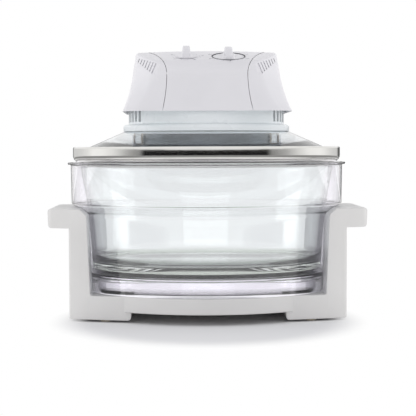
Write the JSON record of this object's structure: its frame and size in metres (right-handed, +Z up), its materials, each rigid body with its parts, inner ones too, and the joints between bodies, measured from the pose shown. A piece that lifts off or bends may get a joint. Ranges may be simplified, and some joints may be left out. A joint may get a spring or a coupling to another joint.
{
  "type": "halogen oven",
  "caption": "Countertop halogen oven: glass bowl in a clear guard on a white base with side grips, glass lid with steel band, heater and vented control head with dials.",
  "frame": {"origin": "centre of the footprint, on the worktop under the rubber pads", "axes": "+Z up, +X to the right seen from the front, front with the dials towards -Y"},
  "size_m": [0.374, 0.3324, 0.3185],
  "materials": {
    "white_plastic": "satin moulded white",
    "cool_white_plastic": "satin moulded cool white",
    "pad_rubber": "matt, cream",
    "screw_steel": "zinc plated",
    "clear_plastic": "clear, polished",
    "bowl_glass": "clear, polished, faint green in the thick base",
    "lid_glass": "clear, polished",
    "band_steel": "polished stainless steel",
    "silicone": "matt, translucent white",
    "sheet_steel": "plated sheet",
    "can_steel": "dark polished stainless steel",
    "bracket_steel": "heat tinted",
    "reflector_metal": "polished",
    "ceramic_fibre": "fibrous, matt",
    "quartz": "clear quartz",
    "tungsten": "fine wire",
    "steatite": "matt cream",
    "copper": "bare metal",
    "phenolic": "matt cream",
    "timer_case": "passivated steel",
    "switch_case": "matt red",
    "lamination": "stacked steel, matt",
    "winding": "enamelled wire",
    "fan_aluminium": "stamped"
  },
  "bodies": {
    "base": {"base_moulding": "white_plastic", "left_foot_plate": "white_plastic", "right_foot_plate": "white_plastic", "rubber_feet": "pad_rubber", "foot_plate_screws": "screw_steel", "outer_guard": "clear_plastic"},
    "bowl": {"glass_bowl": "bowl_glass"},
    "lid": {"lid_glass": "lid_glass", "lid_band": "band_steel", "lid_seal": "silicone", "glass_gasket": "silicone", "clamp_ring": "cool_white_plastic", "clamp_screws": "screw_steel", "heater_can": "can_steel", "can_brackets": "bracket_steel", "reflector": "reflector_metal", "insulation_disc": "ceramic_fibre", "lamp_guard": "sheet_steel", "halogen_lamp": "quartz", "lamp_filament": "tungsten", "lamp_holders": "steatite", "sensor_probe": "copper", "thermal_fuse": "sheet_steel", "head_base": "cool_white_plastic", "saddle_cover": "white_plastic", "left_pod": "white_plastic", "right_pod": "white_plastic", "cover_screws": "screw_steel", "cord_gland": "cool_white_plastic", "terminal_block": "phenolic", "timer_unit": "timer_case", "thermostat_unit": "sheet_steel", "micro_switch": "switch_case", "handle_pins": "screw_steel", "motor_stator": "lamination", "motor_coil": "winding", "lower_motor_bracket": "sheet_steel", "upper_motor_bracket": "sheet_steel", "bracket_screws": "screw_steel"},
    "timer_dial": {"timer_knob": "white_plastic", "timer_shaft": "screw_steel"},
    "temperature_dial": {"temperature_knob": "white_plastic", "thermostat_shaft": "screw_steel"},
    "handle": {"carry_handle": "white_plastic"},
    "plunger": {"switch_plunger": "switch_case"},
    "rotor": {"motor_rotor": "lamination", "motor_shaft": "screw_steel", "cooling_fan": "fan_aluminium", "convection_fan": "fan_aluminium", "fan_nut": "screw_steel"}
  },
  "joints": [
    {"name": "bowl_lift", "type": "slide", "parent": "base", "child": "bowl", "axis": [0, 0, 1], "range_m": [0, 0.15]},
    {"name": "lid_lift", "type": "slide", "parent": "bowl", "child": "lid", "axis": [0, 0, 1], "range_m": [0, 0.1]},
    {"name": "timer_turn", "type": "hinge", "parent": "lid", "child": "timer_dial", "pos_m": [-0.024, -0.044, 0.30563], "axis": [0, -0.2672, 0.9636], "range_deg": [-300, 0]},
    {"name": "temperature_turn", "type": "hinge", "parent": "lid", "child": "temperature_dial", "pos_m": [0.0255, -0.044, 0.30563], "axis": [0, -0.2672, 0.9636], "range_deg": [-270, 0]},
    {"name": "handle_swing", "type": "hinge", "parent": "lid", "child": "handle", "pos_m": [0, 0.014, 0.307], "axis": [1, 0, 0], "range_deg": [0, 90]},
    {"name": "plunger_slide", "type": "slide", "parent": "lid", "child": "plunger", "axis": [0, 0, 1], "range_m": [0, 0.0018]},
    {"name": "fan_spin", "type": "hinge", "parent": "lid", "child": "rotor", "pos_m": [0, 0, 0.24], "axis": [0, 0, 1], "continuous": true}
  ],
  "couplings": [
    {"joint": "plunger_slide", "follows": "handle_swing", "m_per_rad": 0.00114}
  ]
}
